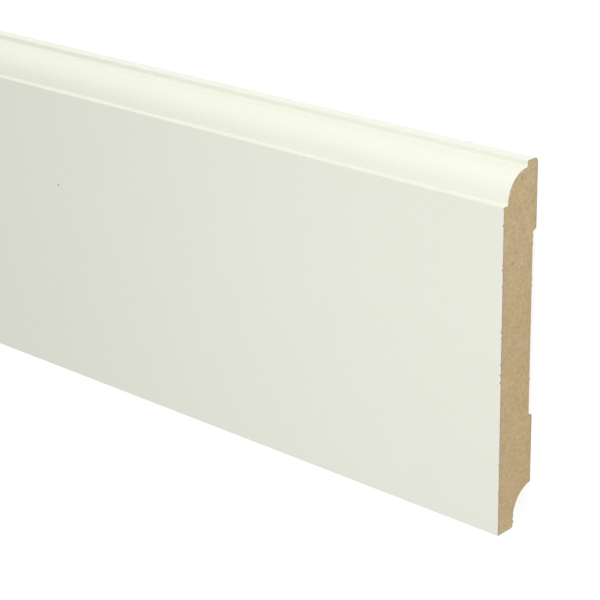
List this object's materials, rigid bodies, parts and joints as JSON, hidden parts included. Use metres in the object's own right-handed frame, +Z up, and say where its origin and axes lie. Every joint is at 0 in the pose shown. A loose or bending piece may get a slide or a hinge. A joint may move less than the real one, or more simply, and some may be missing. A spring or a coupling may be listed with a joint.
{
  "type": "skirting board length",
  "caption": "Length of white-coated MDF skirting board with a stepped ovolo top edge, a relieved back with a cable cove at its foot, and square sawn ends.",
  "frame": {"origin": "centre of the rectangle that the board covers on the floor, at floor level, with the board lying on its back", "axes": "+X along the length, +Y across the width towards the moulded top edge, +Z up out of the face"},
  "size_m": [2.4, 0.11, 0.015],
  "materials": {
    "coated_mdf": "smooth satin white coat on face, moulded edge and toe; bare brown fibreboard on the back and the sawn ends"
  },
  "bodies": {
    "root": {"skirting_board": "coated_mdf"}
  },
  "joints": []
}
